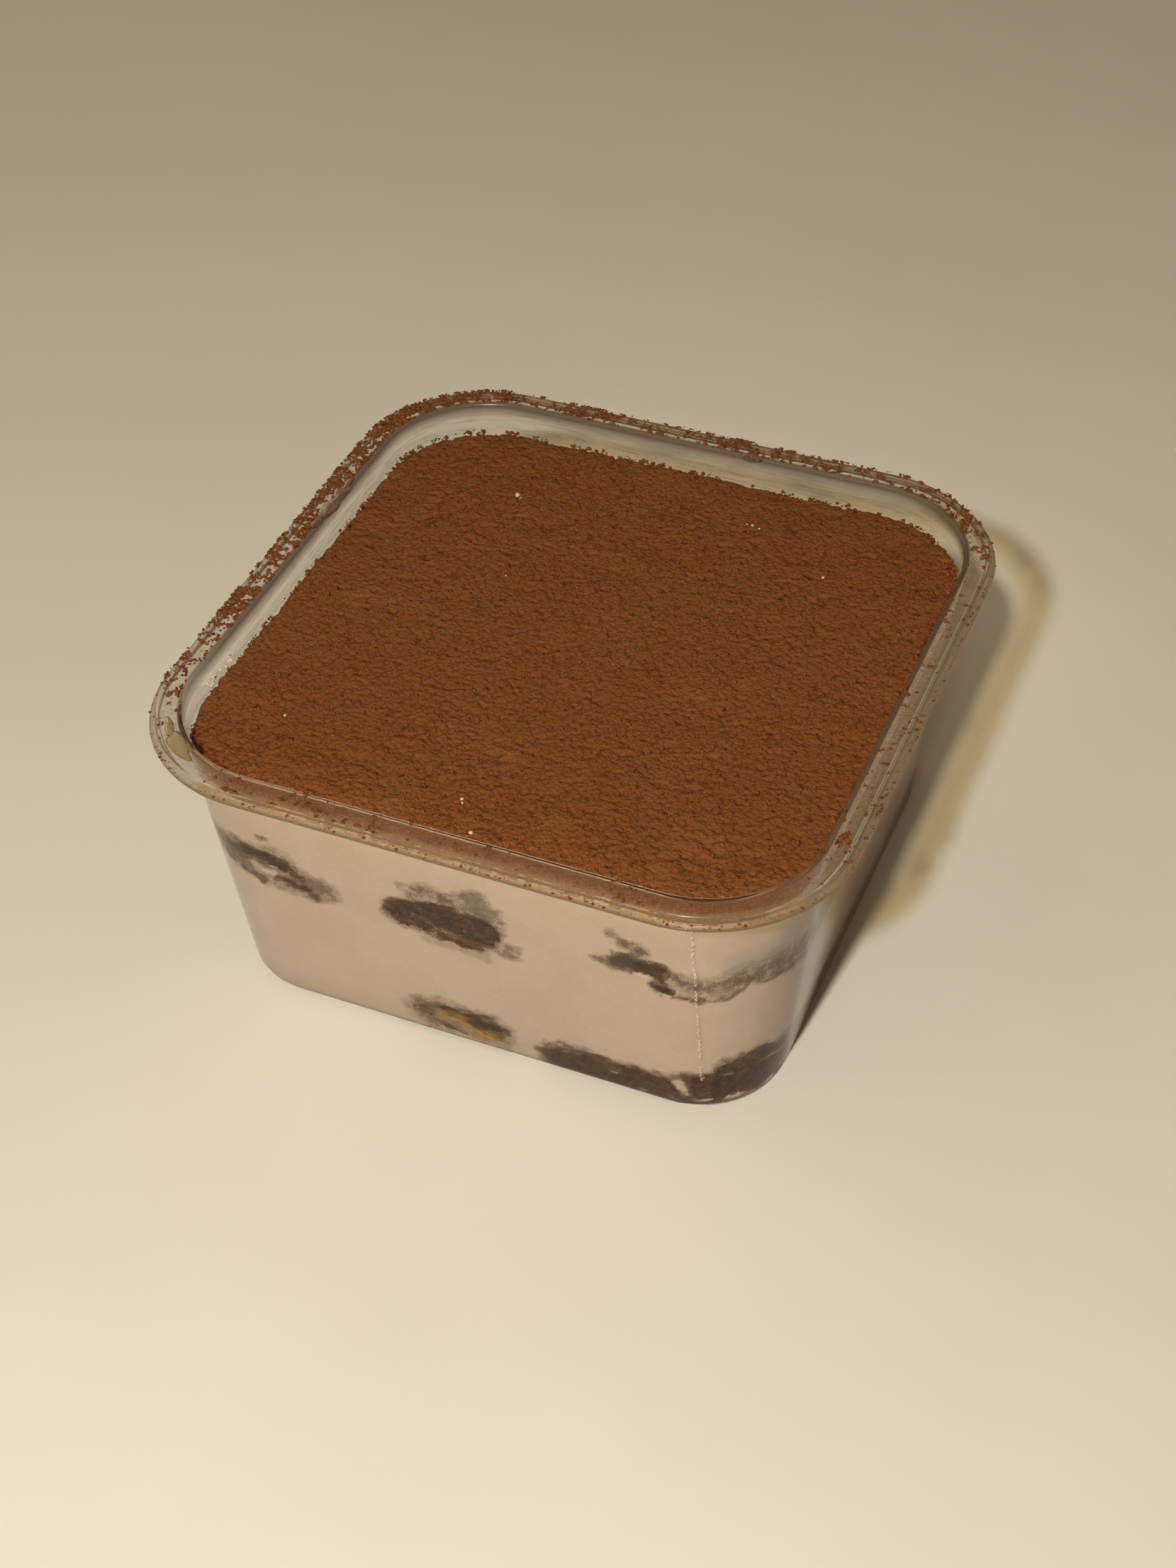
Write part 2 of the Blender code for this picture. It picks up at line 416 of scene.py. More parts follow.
def tone(red, green, blue):
    """A linear colour from sRGB values of 0 to 255."""
    def linear(v):
        v /= 255
        return v / 12.92 if v <= 0.04045 else ((v + 0.055) / 1.055) ** 2.4
    return (linear(red), linear(green), linear(blue))


# ---- colours ----
COCOA = tone(120, 73, 35)
COCOA_WARM = tone(122, 70, 33)
# darkest cocoa, also used for painted shade in the powder's hollows
COCOA_DARK = tone(56, 31, 12)
COCOA_LIGHT = tone(144, 94, 52)
CREAM = tone(174, 156, 138)
CREAM_PINK = tone(171, 150, 132)
CREAM_FILM = tone(142, 124, 105)
SPONGE_FUZZ = tone(96, 73, 52)
SPONGE = tone(66, 38, 15)
SPONGE_DEEP = tone(40, 18, 5)
AMBER = tone(138, 104, 38)
COOL_FILM = tone(134, 128, 120)
# olive tinge of the plastic: painted dark reflection on the bends and edges, and painted light on the lip
OLIVE_DARK = tone(76, 61, 38)
OLIVE_LIGHT = tone(150, 128, 96)
RIM_DUST = tone(112, 72, 44)
RESIDUE = tone(112, 78, 52)
PLASTIC = (0.97, 0.965, 0.945)
FLOOR_TONE = tone(225, 219, 204)


# ---- where the soaked ladyfingers show through the wall ----
# A stroke is a soft line on the wall: from (s, z) to (s, z) in mm, where s runs round the wall
# from the middle of the front to the right, with its radius in mm and how dark it is. Up to
# about 0.5 the biscuit is veiled by cream, from about 0.8 it touches the wall.
FRONT_STROKES = [
    # upper left, a wispy streak that comes round the left corner
    (-52, 33, -40, 34, 4.2, 0.62), (-42, 33, -33, 34.5, 4.4, 0.52), (-33, 34, -25, 30.5, 3.2, 0.46),
    (-40, 30.5, -27, 29, 2.2, 0.40), (-46, 34, -38, 35, 1.9, 0.85), (-38, 36, -31.5, 35, 1.4, 0.95),
    (-33, 34.6, -28.8, 32.2, 1.1, 0.95), (-32.8, 30.6, -28, 29.8, 1.1, 0.88),
    (-28.2, 30, -26.2, 28.4, 1, 0.82), (-39.5, 29.6, -35.8, 28.8, 0.9, 0.78),
    (-35, 40.5, -34, 39.8, 0.9, 0.45), (-52, 31, -43, 31, 1.6, 0.85),
    # upper middle, the darkest, with veiled lobes above it
    (-10, 31, 2.5, 31.3, 3.9, 1.35), (-9.5, 33, -1, 34.6, 1.9, 1.3), (1.5, 33.6, 5.4, 32.4, 2.2, 1.3),
    (-4, 28.2, 2.6, 27.4, 1.3, 1.1), (-12.3, 32.8, -11, 29, 1.7, 0.75), (-8.4, 37, -5, 38.6, 2.4, 0.42),
    (-3, 37.5, 0.5, 38, 2.6, 0.46), (2.6, 39.6, 5, 37.6, 2.9, 0.56), (4.8, 36.4, 6.4, 35, 1.8, 0.5),
    (4.5, 30, 8, 28.8, 2.4, 0.5), (-6, 26, 4, 25.6, 1.6, 0.22),
    # upper right, a small dark core whose tail runs into the band round the corner
    (27.4, 35, 33, 35.2, 2.2, 1.35), (32.4, 31.4, 34.8, 30.2, 1.2, 1.1),
    (29, 33.2, 33.5, 33, 1.4, 0.75), (26.2, 41.2, 27, 40.8, 1.3, 0.45),
    (28.6, 39.3, 30, 38.8, 1.9, 0.55), (23, 34, 26, 33.2, 1.5, 0.42), (34.5, 34.5, 40, 32, 3, 0.36),
    (40, 32.2, 45.5, 34, 3.2, 0.38), (45.5, 34, 52, 35.2, 3.6, 0.44), (52, 34.6, 64, 33.2, 4.2, 0.50),
    (35, 29.9, 39.5, 29, 0.9, 0.66), (39.5, 29, 43.2, 29.6, 0.8, 0.50),
    (43.2, 29.6, 47.8, 32.4, 0.9, 0.52), (47.8, 32.4, 52.3, 31.6, 1, 0.52),
    (52.3, 31.6, 62, 29.8, 1.2, 0.62),
    # lower middle, a faint patch with amber coffee in it
    (-10.5, 6.2, -7.5, 5.2, 3.6, 0.60), (-6.5, 6.6, 3, 5.6, 4.4, 0.58), (-6.2, 8, -3, 7.4, 1.3, 1.05),
    (-1.4, 7, 2.8, 5.6, 2.3, 1.25), (-6.4, 2.9, -3, 2.4, 0.8, 0.75), (-10, 4, -8.8, 3.6, 1, 0.6),
    # lower right, dark along the foot and higher past the corner
    (14, 3, 20, 3.6, 3.6, 1.35), (20, 3.4, 33.5, 3, 4.7, 1.45), (33, 1, 39, 1.2, 2.8, 1.3),
    (38.2, 5, 44.5, 5.4, 5, 1.45), (45.2, 7.2, 48.5, 8.4, 5.6, 1.45), (48.5, 7, 56, 6, 6, 1.45),
    (56, 5.2, 64, 3.4, 5.2, 1.4), (13, 6.6, 19, 7.6, 1.8, 0.45), (42, 11.2, 45, 13, 1.6, 0.5),
]
MOST_SOAK = 1.4
# Light films of cream that lie over the dark patches: the same, with how much they lighten.
FRONT_FILMS = [
    (-6.4, 30.9, -1.6, 28.8, 1.3, 0.55), (29.8, 32.6, 32, 32.2, 1, 0.9),
    (-8.5, 31.2, -6.6, 31, 0.9, 0.35), (23.7, 4.3, 24.1, 4.1, 0.6, 1.3),
    (28.6, 1.6, 29.6, 1.6, 0.6, 1.3), (33.2, 2, 34.4, 1.8, 0.6, 1.3), (37.6, 1.9, 40, 1.9, 0.7, 1.4),
    (43.2, 2.2, 44.6, 2.4, 0.8, 1.4), (50.8, 2, 51.8, 2, 0.6, 1.3), (54, 3.2, 55, 3.4, 0.6, 1.2),
    (43.2, 8.7, 44.2, 8.9, 0.6, 1.1), (49.4, 9.3, 51.8, 8.9, 0.55, 1.4),
    (51.8, 8.9, 54.4, 8.3, 0.45, 1.4), (54.4, 8.3, 56.6, 8.9, 0.45, 1.3),
    (35.4, 6.4, 36.4, 3.8, 1.2, 1.3), (46.2, 9.2, 48.2, 10.8, 1, 0.6),
    (-36.5, 32.4, -33.5, 31.6, 1.2, 0.35),
]
AMBER_STROKES = [
    (-7.2, 6.2, -2.6, 4.8, 1.5, 0.9), (-1.2, 3.7, 2.8, 3.4, 1.9, 1), (-4.6, 7, -2.4, 6.6, 0.9, 0.7),
    (21, 6.2, 24, 6, 1.2, 0.25), (0.5, 28.4, 2.5, 27.8, 1, 0.25),
]
COOL_STROKES = [
    (46, 38, 55, 39.2, 3.4, 0.8), (55, 39, 66, 37, 3, 0.7), (2.6, 39.4, 5.2, 37.4, 2.2, 0.5),
]


def biscuit_end(rng, x, z, width, height):
    """Strokes for a biscuit's end that nobody set by hand."""
    strokes = [(x - width * 0.30, z, x + width * 0.26, z + rng.uniform(-0.6, 0.6), height * 0.40, 1.3)]
    strokes.append((x - width * 0.5, z, x + width * 0.5, z, height * 0.62, 0.52))
    for _ in range(5):
        sx = x + rng.uniform(-0.42, 0.30) * width
        sz = z + rng.uniform(-0.34, 0.34) * height
        ex, ez = sx + rng.uniform(1.5, 5.0), sz + rng.uniform(-1.2, 1.2)
        strokes.append((sx, sz, ex, ez, rng.uniform(0.9, 1.9), rng.uniform(0.8, 1.25)))
    for _ in range(3):
        sx = x + rng.uniform(-0.4, 0.4) * width
        strokes.append((sx, z + height * 0.5, sx + 2.5, z + height * 0.55, rng.uniform(1.6, 2.8), 0.45))
    return strokes


def biscuit_side(rng, start, end, z, height, dark):
    """Strokes for a biscuit's long side against a wall."""
    strokes = []
    for s in np.arange(start, end, 5.0):
        lift = rng.uniform(-0.7, 0.7)
        strokes.append((s, z + lift, s + 6.5, z + rng.uniform(-0.7, 0.7), height * 0.62, 0.56))
        edge = z - height * 0.32 + rng.uniform(-0.4, 0.4)
        strokes.append((s, edge, s + 5.5, edge + rng.uniform(-0.5, 0.5), rng.uniform(1.0, 1.9), dark))
        if rng.random() < 0.6:
            high = z + rng.uniform(0.0, 0.3) * height
            strokes.append((s, high, s + rng.uniform(2, 5), high, rng.uniform(0.8, 1.6), dark))
    return strokes


def hidden_strokes():
    """The right and left walls beyond the corners, and the back, in front and back coordinates."""
    rng = np.random.default_rng(SEED)
    front = biscuit_side(rng, 62, 132, 33.4, 8.6, 0.86) + biscuit_side(rng, 62, 134, 3.6, 8.4, 1.35)
    left = biscuit_side(rng, 50, 132, 32.4, 8.0, 0.84)
    front += [(-s0, z0, -s1, z1, radius, level) for s0, z0, s1, z1, radius, level in left]
    back = biscuit_end(rng, 37.0, 32.2, 18.0, 9.0) + biscuit_end(rng, 3.2, 31.8, 18.0, 9.6)
    back += biscuit_end(rng, -37.5, 33.4, 19.0, 9.8) + biscuit_end(rng, 4.5, 5.4, 17.0, 8.6)
    back += [(-16, 3.2, -34, 3.0, 4.6, 1.4), (-38, 5.2, -46, 5.4, 5.0, 1.4), (-46, 6.0, -60, 4.0, 5.6, 1.4)]
    return front, back


HIDDEN_FRONT, HIDDEN_BACK = hidden_strokes()


def stroke_sum(s, z, strokes):
    """The strokes melted into each other, each fading to 0 a little beyond its radius."""
    melt = 4
    total = np.zeros(len(s))
    for s0, z0, s1, z1, radius, level in strokes:
        ds, dz = s1 - s0, z1 - z0
        t = share(((s - s0) * ds + (z - z0) * dz) / max(ds * ds + dz * dz, 1e-6))
        d = np.hypot(s - s0 - t * ds, z - z0 - t * dz) / (1.22 * radius)
        total += (level * share(1 - d * d) ** 1.5) ** melt
    return total ** (1 / melt)


def soak_fields(points):
    """How strongly the biscuits show at points on the wall: soak, amber and cool, each from 0."""
    front_s = way_round(points) / MM
    back_s = way_round(points * np.array([-1.0, -1.0, 1.0])) / MM
    z = points[:, 2] / MM
    warp_s = 0.8 * layered_noise(points, 2.6 * MM, 3, 5) + 0.45 * smooth_noise(points, 0.8 * MM, 9)
    warp_z = 0.6 * layered_noise(points, 2.2 * MM, 3, 6) + 0.45 * smooth_noise(points, 0.8 * MM, 10)
    soak = stroke_sum(front_s + warp_s, z + warp_z, FRONT_STROKES + HIDDEN_FRONT)
    soak = np.maximum(soak, stroke_sum(back_s + warp_s, z + warp_z, HIDDEN_BACK))
    wisps = layered_noise(points * np.array([1.0, 1.0, 1.9]), 1.5 * MM, 3, 21)
    soak = soak * (1 + 0.30 * wisps)
    soak = soak - stroke_sum(front_s + 0.5 * warp_s, z + 0.5 * warp_z, FRONT_FILMS)
    amber = stroke_sum(front_s + 0.6 * warp_s, z + 0.6 * warp_z, AMBER_STROKES)
    cool = stroke_sum(front_s + 0.6 * warp_s, z + 0.6 * warp_z, COOL_STROKES)
    return np.clip(soak, 0, MOST_SOAK), amber, cool


# ---- materials ----
def stain_color(sh):
    """Cream that darkens through veiled sponge to bare soaked sponge, by the soak attribute."""
    soak = sh.attribute("soak")
    fine = sh.noise(0.34 * MM, 4.0, 0.7)
    coarse = sh.noise(1.5 * MM, 3.0, 0.6)
    swing = sh.math("SUBTRACT", sh.math("ADD", fine, coarse), 1.0)
    strength = sh.remap(soak, 0.04, 0.35, 0.0, 1.0)
    soaked = sh.math("MULTIPLY_ADD", swing, strength, soak)
    stops = [(0.0, CREAM), (0.24, CREAM_FILM), (0.50, SPONGE_FUZZ), (0.80, SPONGE), (1.0, SPONGE_DEEP)]
    veiled = sh.ramp(soaked, stops)
    mottled = sh.remap(sh.noise(9.0 * MM, 4.0, 0.55), 0.35, 0.7, 0.0, 1.0)
    cream = sh.mix(mottled, CREAM, CREAM_PINK)
    color = sh.mix(sh.remap(soaked, 0.0, 0.12), cream, veiled)
    color = sh.mix(sh.times(sh.attribute("amber"), 0.75, clamp=True), color, AMBER)
    return sh.mix(sh.times(sh.attribute("cool"), 0.6, clamp=True), color, COOL_FILM)


def cream_material():
    sh = Shader("coffee_cream")
    grain = sh.noise(0.30 * MM, 3.0, 0.7)
    pores = sh.remap(sh.cells(1.7 * MM), 0.03, 0.10, 1.0, 0.0)
    painted_glint_specks = sh.remap(sh.cells(0.9 * MM), 0.05, 0.12, 1.0, 0.0)
    # painted shade in small pores of the cream
    color = sh.mix(sh.times(pores, 0.35), stain_color(sh), tone(140, 112, 86))
    # painted glints: lighter tiny specks on the cream
    color = sh.mix(sh.times(painted_glint_specks, 0.30), color, tone(208, 190, 168))
    color = sh.mix(sh.remap(grain, 0.3, 0.7, 0.0, 0.14), color, tone(120, 98, 78))
    rough = sh.remap(sh.noise(1.2 * MM), 0.3, 0.7, 0.38, 0.55)
    normal = sh.bump(grain, 0.05 * MM, 0.5)
    return sh.finish(
        Base_Color=color, Roughness=rough, Normal=normal, Subsurface_Weight=0.15,
        Subsurface_Radius=(1.0, 0.6, 0.35), Subsurface_Scale=1.2 * MM,
    )


def sponge_material():
    sh = Shader("soaked_sponge")
    crumb = sh.noise(0.6 * MM, 4.0, 0.7)
    holes = sh.remap(sh.cells(0.9 * MM), 0.10, 0.32, 1.0, 0.0)
    streaks = sh.noise(1.9 * MM, 4.0, 0.65, distortion=1.2)
    color = sh.mix(sh.remap(streaks, 0.48, 0.68, 0.0, 0.60), stain_color(sh), tone(82, 51, 25))
    # painted shade in the sponge's holes
    color = sh.mix(sh.times(holes, 0.45), color, SPONGE_DEEP)
    # painted glints: small lighter spots on the sponge
    painted_glint_spots = sh.remap(sh.cells(1.3 * MM), 0.05, 0.11, 0.6, 0.0)
    color = sh.mix(painted_glint_spots, color, tone(170, 142, 108))
    rough = sh.remap(crumb, 0.3, 0.7, 0.35, 0.7)
    normal = sh.bump(sh.math("SUBTRACT", crumb, holes), 0.15 * MM, 0.6)
    return sh.finish(
        Base_Color=color, Roughness=rough, Specular_IOR_Level=0.12, Normal=normal,
    )


def cocoa_material():
    sh = Shader("cocoa_powder")
    fine = sh.noise(0.25 * MM, 3.0, 0.65)
    patch = sh.noise(9.0 * MM, 4.0, 0.55)
    crumb = sh.cells(0.80 * MM)
    crumblet = sh.cells(0.42 * MM)
    lumpy = sh.noise(0.75 * MM, 4.0, 0.7)
    color = sh.mix(sh.remap(patch, 0.3, 0.7), COCOA, COCOA_WARM)
    color = sh.mix(sh.remap(fine, 0.5, 0.75, 0.0, 0.35), color, COCOA_LIGHT)
    # painted shade in the crevices between the crumbs' domes
    hollow_shade = sh.times(sh.remap(crumb, 0.40, 0.75), sh.remap(lumpy, 0.56, 0.36))
    color = sh.mix(sh.times(hollow_shade, 0.55), color, COCOA_DARK)
    # darker by attribute: painted shade in the bed's hollows and on its edge's side, and a random darker
    # tone of single crumbs
    color = sh.mix(sh.attribute("pit"), color, COCOA_DARK)
    color = sh.mix(sh.attribute("pale"), color, COCOA_LIGHT)
    dome = sh.math("SUBTRACT", 1.0, sh.times(crumb, crumb))
    domelet = sh.math("SUBTRACT", 1.0, sh.times(crumblet, crumblet))
    relief = sh.math("MULTIPLY_ADD", domelet, 0.45, dome)
    relief = sh.math("MULTIPLY_ADD", lumpy, 0.5, relief)
    relief = sh.math("MULTIPLY_ADD", fine, 0.35, relief)
    normal = sh.bump(relief, 0.34 * MM, 0.9)
    return sh.finish(
        Base_Color=color, Roughness=0.95, Specular_IOR_Level=0.15, Normal=normal,
    )


def plastic_material():
    """Clear plastic that lets lamps through, with brown dust and an olive tinge on its bends that is painted
    dark reflection, made lighter on the lip as painted light.
    """
    sh = Shader("clear_plastic")
    clear = sh.principled(Base_Color=PLASTIC, Roughness=0.03, IOR=1.30, Transmission_Weight=1.0)
    dust_grain = sh.noise(0.30 * MM, 4.0, 0.75)
    dust_patch = sh.noise(3.2 * MM, 3.0, 0.6)
    amount = sh.times(sh.attribute("dust"), sh.remap(dust_patch, 0.25, 0.7, 0.60, 1.0))
    film = sh.times(amount, sh.remap(dust_grain, 0.40, 0.62, 0.50, 1.0), clamp=True)
    powder = sh.principled(Base_Color=RIM_DUST, Roughness=0.9, Specular_IOR_Level=0.2)
    # painted reflection and light: the olive tinge goes from dark on the bends to light on the lip and skirt
    tinge = sh.mix(sh.attribute("glow"), OLIVE_DARK, OLIVE_LIGHT)
    bend = sh.principled(Base_Color=tinge, Roughness=0.25, Specular_IOR_Level=0.4)
    mapping = sh.node("ShaderNodeMapping", {"Vector": sh.position(), "Scale": (1.0, 1.0, 16.0)})
    lines = sh.noise(7.0 * MM, 3.0, 0.6, vector=mapping.outputs[0])
    streak = sh.times(sh.attribute("streak"), sh.remap(lines, 0.45, 0.68), clamp=True)
    painted_tinge_and_streak = sh.math("ADD", sh.attribute("haze"), sh.times(streak, 0.75), clamp=True)
    coated = sh.blend(film, sh.blend(painted_tinge_and_streak, clear, bend), powder)
    shade = sh.mix(sh.attribute("rim"), (0.95, 0.94, 0.92), (0.76, 0.68, 0.52))
    through = sh.node("ShaderNodeBsdfTransparent", {"Color": shade}).outputs[0]
    lamp = sh.node("ShaderNodeLightPath").outputs["Is Shadow Ray"]
    return sh.done(sh.blend(lamp, coated, through))


def smear_material():
    sh = Shader("rim_residue")
    color = sh.mix(sh.noise(1.1 * MM, 4.0), RESIDUE, tone(92, 62, 40))
    color = sh.mix(sh.attribute("amber"), color, tone(146, 122, 76))
    rough = sh.remap(sh.noise(0.8 * MM), 0.3, 0.7, 0.2, 0.45)
    return sh.finish(Base_Color=color, Roughness=rough, Transmission_Weight=0.35)


def fleck_and_glint_material():
    # pale colour for the cream flecks and for the painted highlight streak on the front right corner
    sh = Shader("pale_fleck_and_painted_glint")
    color = sh.mix(sh.noise(0.6 * MM, 3.0), tone(226, 210, 186), tone(196, 174, 146))
    return sh.finish(Base_Color=color, Roughness=0.35)


def floor_material():
    sh = Shader("pale_tabletop")
    broad = sh.noise(120 * MM, 3.0, 0.5)
    color = sh.mix(sh.remap(broad, 0.3, 0.7, 0.0, 0.25), FLOOR_TONE, tone(217, 210, 194))
    rough = sh.remap(sh.noise(20 * MM, 2.0), 0.3, 0.7, 0.55, 0.7)
    return sh.finish(Base_Color=color, Roughness=rough)


# ---- the tub ----
def tub_section():
    """The shell's section from the middle of the underside, round the rim, to the floor's middle.

    With each point goes its zone, which says how olive, how light and how dusty the plastic is; the olive
    and its lightness are painted reflection and painted light."""
    lip_top = HEIGHT - SKIRT_DROP
    lip_under = lip_top - WALL
    ledge_under = HEIGHT - WALL
    skirt_inner = SKIRT_HALF - WALL
    round_edge = WALL * 0.3
    wall_foot = outer_half(FLOOR_FILLET) - FLOOR_FILLET
    inner_fillet = FLOOR_FILLET - WALL
    bend_z = ledge_under - BEND
    inner_top = inner_half(HEIGHT - BEND)
    fillet_top = (inner_half(FLOOR + inner_fillet), FLOOR + inner_fillet)
    foot = fillet_top[0] - inner_fillet
    half_bend = BEND * 0.5
    small_bend = BEND * 0.3
    ledge_start = (SKIRT_HALF - BEND, HEIGHT)
    zones = [
        ("wall", [(wall_foot * 0.3, 0.0), (wall_foot * 0.7, 0.0)]),
        ("foot", arc(wall_foot, FLOOR_FILLET, FLOOR_FILLET, -90, 0, 8)),
        ("wall", line((outer_half(FLOOR_FILLET), FLOOR_FILLET), (outer_half(bend_z), bend_z), 10)),
        ("wall", arc(outer_half(bend_z) + BEND, bend_z, BEND, 180, 90, 6)),
        ("wall", arc(skirt_inner - half_bend, ledge_under - half_bend, half_bend, 90, 0, 4)),
        ("wall", arc(skirt_inner + half_bend, lip_under + half_bend, half_bend, 180, 270, 4)),
        ("lip_edge", arc(LIP_HALF - round_edge, lip_under + round_edge, round_edge, -90, 0, 4)),
        ("lip", arc(LIP_HALF - round_edge, lip_top - round_edge, round_edge, 0, 90, 4)),
        ("lip", arc(SKIRT_HALF + small_bend, lip_top + small_bend, small_bend, 270, 180, 4)),
        ("skirt", arc(SKIRT_HALF - BEND, HEIGHT - BEND, BEND, 0, 90, 6)),
        ("ledge", line(ledge_start, (inner_top + BEND, HEIGHT), 6)),
        ("bend", arc(inner_top + BEND, HEIGHT - BEND, BEND, 90, 180, 8)),
        ("inner", line((inner_top, HEIGHT - BEND), fillet_top, 22)),
        ("wall", arc(foot, FLOOR + inner_fillet, inner_fillet, 0, -90, 6)),
        ("wall", [(foot * 0.7, FLOOR), (foot * 0.3, FLOOR)]),
    ]
    return [(half, z, zone) for zone, points in zones for half, z in points]


# For each zone of the plastic: olive tinge, which is painted dark reflection on the bends, lip and skirt;
# how light that is, which is painted light, brightest on the lip; and share of the rim's dust.
ZONES = {
    "wall": (0.0, 0.5, 0.0), "foot": (0.12, 0.2, 0.0), "lip_edge": (0.55, 0.25, 0.0),
    "lip": (0.42, 1.0, 0.25), "skirt": (0.42, 0.75, 0.1), "ledge": (0.02, 0.5, 1.0),
    "bend": (0.85, 0.0, 0.4), "inner": (0.0, 0.4, 0.0),
}


def build_tub(material):
    unit = plan_unit(20, 26)
    section = tub_section()
    vertices, faces = lofted([plan_ring(unit, half, z) for half, z, _ in section])
    table = np.array([ZONES[zone] for _, _, zone in section])
    table = np.concatenate([np.repeat(table, len(unit[0]), axis=0), np.zeros((2, 3))])
    z = vertices[:, 2]
    to_front = share(-vertices[:, 1] / (52 * MM)) ** 4
    to_right = share(vertices[:, 0] / LIP_HALF) ** 3
    to_left = share(-vertices[:, 0] / LIP_HALF) ** 3
    spread = 0.20 + 0.38 * to_front + 0.38 * to_right + 0.22 * to_left
    zone_of = np.repeat([zone for _, _, zone in section], len(unit[0]))
    zone_of = np.append(zone_of, ["wall", "wall"])
    # the painted dark reflection on the inner bend is kept faint at the front
    front_bend = 1 - 0.95 * to_front * (zone_of == "bend")
    above = (zone_of == "inner") * share((z - COCOA_TOP + 2 * MM) / (1 * MM))
    low = share(1 - (z - COCOA_TOP) / (2.2 * MM))
    # the tinge attributes below carry painted dark reflection and painted light on the bends and lip
    make_piece(
        "tub_shell", vertices, faces, material, "clear_plastic", "tub",
        dust=table[:, 2] * spread + above * low * (0.10 + 0.30 * to_left),
        haze=table[:, 0] * front_bend, glow=table[:, 1],
        streak=above * 0.34 * (1 - 0.9 * to_front) * (1 - 0.9 * to_right),
        rim=share((z - HEIGHT + 2.2 * MM) / (1 * MM)))


# ---- the cream ----
FINGER_POWER = 2.5           # squareness of a biscuit's cross-section
END_POWER = 2.2              # the same for the outline of its ends
FINGER_END = 5.0 * MM        # blunter than the CAD's, since the walls press it flat
FINGER_HALF_LENGTH = 53.5 * MM
# For each biscuit, in mm as in the CAD: x and z of its middle line, half width, half height.
FINGER_SHAPES = {
    "ladyfinger_upper_left": (-38.5, 32.2, 14.5, 5.8),
    "ladyfinger_upper_middle": (-3.2, 31.6, 12.5, 6.1),
    "ladyfinger_upper_right": (39.5, 33.4, 14.0, 6.2),
    "ladyfinger_lower_middle": (-4.5, 5.2, 12.3, 6.1),
    "ladyfinger_lower_right": (24.0, 3.0, 11.8, 5.8),
    "ladyfinger_lower_corner": (46.2, 6.3, 9.3, 7.0),
}

CONTACT = 0.62               # soak from which on the biscuit itself lies against the wall
WINDOW_DEPTH = 1.3 * MM      # how far the cream stays back there


def finger_shape(node):
    return [size * MM for size in FINGER_SHAPES[node]]


def end_taper(place):
    """How a biscuit narrows in its end, from 1 to 0, or the inverse, which is the same curve."""
    return (1 - place ** END_POWER) ** (1 / END_POWER)


def behind_biscuit(p):
    """From 0 to 1, how well inside a biscuit each point on the wall lies."""
    inside = np.zeros(len(p))
    end_start = FINGER_HALF_LENGTH - FINGER_END
    past = np.clip((np.abs(p[:, 1]) - end_start) / FINGER_END, 0, 0.999)
    taper = end_taper(past)
    for node in FINGER_SHAPES:
        x, z, half_width, half_height = finger_shape(node)
        across = np.abs(p[:, 0] - x) / (half_width * taper)
        high = np.abs(p[:, 2] - z) / (half_height * taper)
        depth = (0.84 - across ** FINGER_POWER - high ** FINGER_POWER) / 0.25
        inside = np.maximum(inside, share(depth))
    return inside


def build_cream(material):
    """The cream against the wall, held back where a biscuit shows."""
    unit = plan_unit(112, 44)
    bottom = FLOOR - INTO_WALL
    fillet = FLOOR_FILLET - WALL
    foot = inner_half(bottom + fillet) - fillet
    section = [(foot * k, bottom) for k in (0.25, 0.5, 0.7, 0.85, 0.94)]
    section += arc(foot + INTO_WALL, bottom + fillet, fillet, -90, 0, 5)
    heights = np.linspace(bottom + fillet, CREAM_TOP, 82)[1:]
    section += [(inner_half(z) + INTO_WALL, z) for z in heights]
    top_half = inner_half(CREAM_TOP)
    top_z = CREAM_TOP + 0.15 * MM
    section += [(top_half - k * MM, top_z) for k in (0.3, 1.0, 2.0, 3.5, 6.0, 12.0, 24.0, 40.0)]
    vertices, faces = lofted([plan_ring(unit, half, z) for half, z in section])
    soak, amber, cool = soak_fields(vertices)
    distance, nx, ny = wall_distance(vertices)
    at_wall = (distance < 0.1 * MM) & (vertices[:, 2] < CREAM_TOP - 0.5 * MM)
    bare = share((soak - CONTACT) / 0.18)
    back = bare * at_wall * behind_biscuit(vertices) * WINDOW_DEPTH
    vertices[:, 0] -= nx * back
    vertices[:, 1] -= ny * back
    make_piece("cream_fill", vertices, faces, material, "cream", "cream",
               soak=soak * at_wall, amber=amber * at_wall, cool=cool * at_wall)


